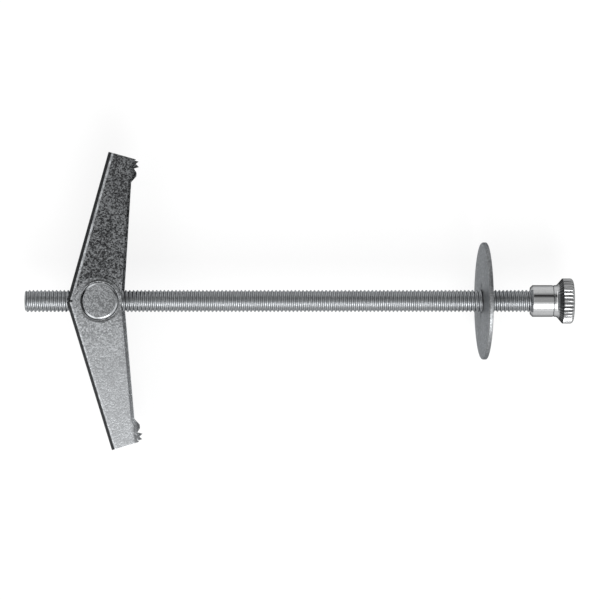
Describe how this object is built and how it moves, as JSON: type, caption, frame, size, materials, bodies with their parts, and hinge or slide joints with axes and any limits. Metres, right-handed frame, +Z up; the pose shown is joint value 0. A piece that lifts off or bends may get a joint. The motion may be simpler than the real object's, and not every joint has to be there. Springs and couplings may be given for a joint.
{
  "type": "spring toggle bolt",
  "caption": "Spring toggle bolt: threaded rod with two sprung folding channel wings on a cross dowel, a large washer and a knurled nut.",
  "frame": {"origin": "centre of the rod's free end, on the rod's axis", "axes": "+X along the rod towards the knurled nut, +Y across the spread wings, +Z up, along the wings' hinge pin"},
  "size_m": [0.0995, 0.0538, 0.0213],
  "materials": {
    "rod_zinc": "zinc plated rolled thread",
    "dowel_zinc": "zinc plated, turned",
    "spring_steel": "drawn spring wire",
    "wing_zinc": "zinc plated stamped sheet, mottled satin",
    "washer_zinc": "zinc plated stamped disc",
    "nut_nickel": "bright nickel plated, turned and knurled"
  },
  "bodies": {
    "rod": {"threaded_rod": "rod_zinc"},
    "toggle": {"trunnion_nut": "dowel_zinc", "torsion_spring": "spring_steel"},
    "wing_upper": {"upper_wing": "wing_zinc"},
    "wing_lower": {"lower_wing": "wing_zinc"},
    "nut": {"knurled_nut": "nut_nickel"},
    "washer_disc": {"washer": "washer_zinc"}
  },
  "joints": [
    {"name": "toggle_travel", "type": "slide", "parent": "rod", "child": "toggle", "axis": [1, 0, 0], "range_m": [-0.0105, 0.02]},
    {"name": "upper_wing_hinge", "type": "hinge", "parent": "toggle", "child": "wing_upper", "pos_m": [0.0138, 0, 0], "axis": [0, 0, 1], "range_deg": [-79.8, 0], "stiffness_Nm_per_rad": 0.02, "springref_deg": 34.38, "deforming": ["torsion_spring"]},
    {"name": "lower_wing_hinge", "type": "hinge", "parent": "toggle", "child": "wing_lower", "pos_m": [0.0138, 0, 0], "axis": [0, 0, 1], "range_deg": [0, 78.4], "stiffness_Nm_per_rad": 0.02, "springref_deg": -34.38, "deforming": ["torsion_spring"]},
    {"name": "nut_travel", "type": "slide", "parent": "rod", "child": "nut", "axis": [1, 0, 0], "range_m": [-0.025, 0.0025]},
    {"name": "washer_travel", "type": "slide", "parent": "nut", "child": "washer_disc", "axis": [1, 0, 0], "range_m": [-0.016, 0.0078]}
  ]
}
